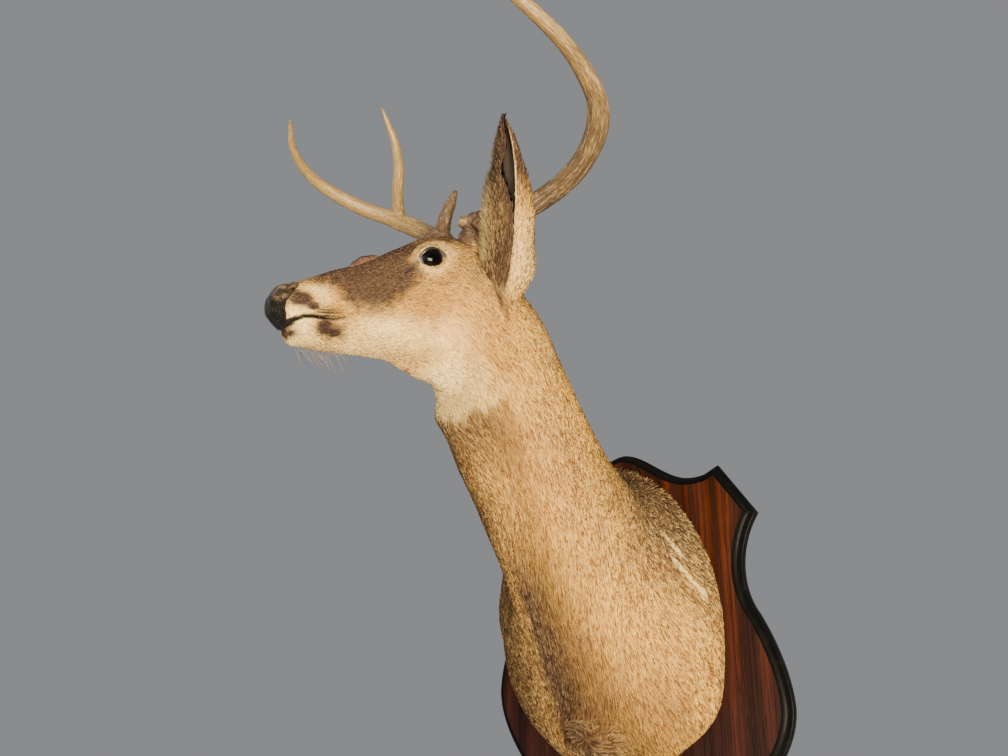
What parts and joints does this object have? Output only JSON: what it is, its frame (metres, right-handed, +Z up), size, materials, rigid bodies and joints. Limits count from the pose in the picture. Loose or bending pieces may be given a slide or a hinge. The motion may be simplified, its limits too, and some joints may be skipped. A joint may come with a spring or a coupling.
{
  "type": "white-tailed deer shoulder mount on shield plaque",
  "caption": "Life-size taxidermy white-tailed buck, head, neck and shoulders with antlers, head turned, fixed to a shield-shaped oak plaque that hangs flat on a wall",
  "frame": {"origin": "middle of the plaque's flat back face, where it meets the wall", "axes": "+X to the deer's left, +Y into the wall, +Z up"},
  "size_m": [0.4598, 0.5959, 0.9484],
  "materials": {
    "board": "red-brown stained oak, satin varnish, routed edge painted gloss black",
    "coat": "tanned hide with short fawn hair, paler round eyes, muzzle, chin and throat",
    "nose": "dark pebbled nose skin, semi-gloss",
    "eye": "polished dark brown glass eye",
    "antler": "antler bone, brown and beaded at the burr, ivory and smooth at the tips"
  },
  "bodies": {
    "root": {"board": "board", "shoulders": "coat", "neck": "coat", "head": "coat", "muzzle": "coat", "lower_jaw": "coat", "nose_pad": "nose", "eye_left": "eye", "eye_right": "eye", "ear_left": "coat", "ear_right": "coat", "antler_left_beam": "antler", "antler_left_brow_stub": "antler", "antler_right_base": "antler", "antler_right_front_beam": "antler", "antler_right_rear_tine": "antler", "antler_right_brow_tine": "antler"}
  },
  "joints": []
}
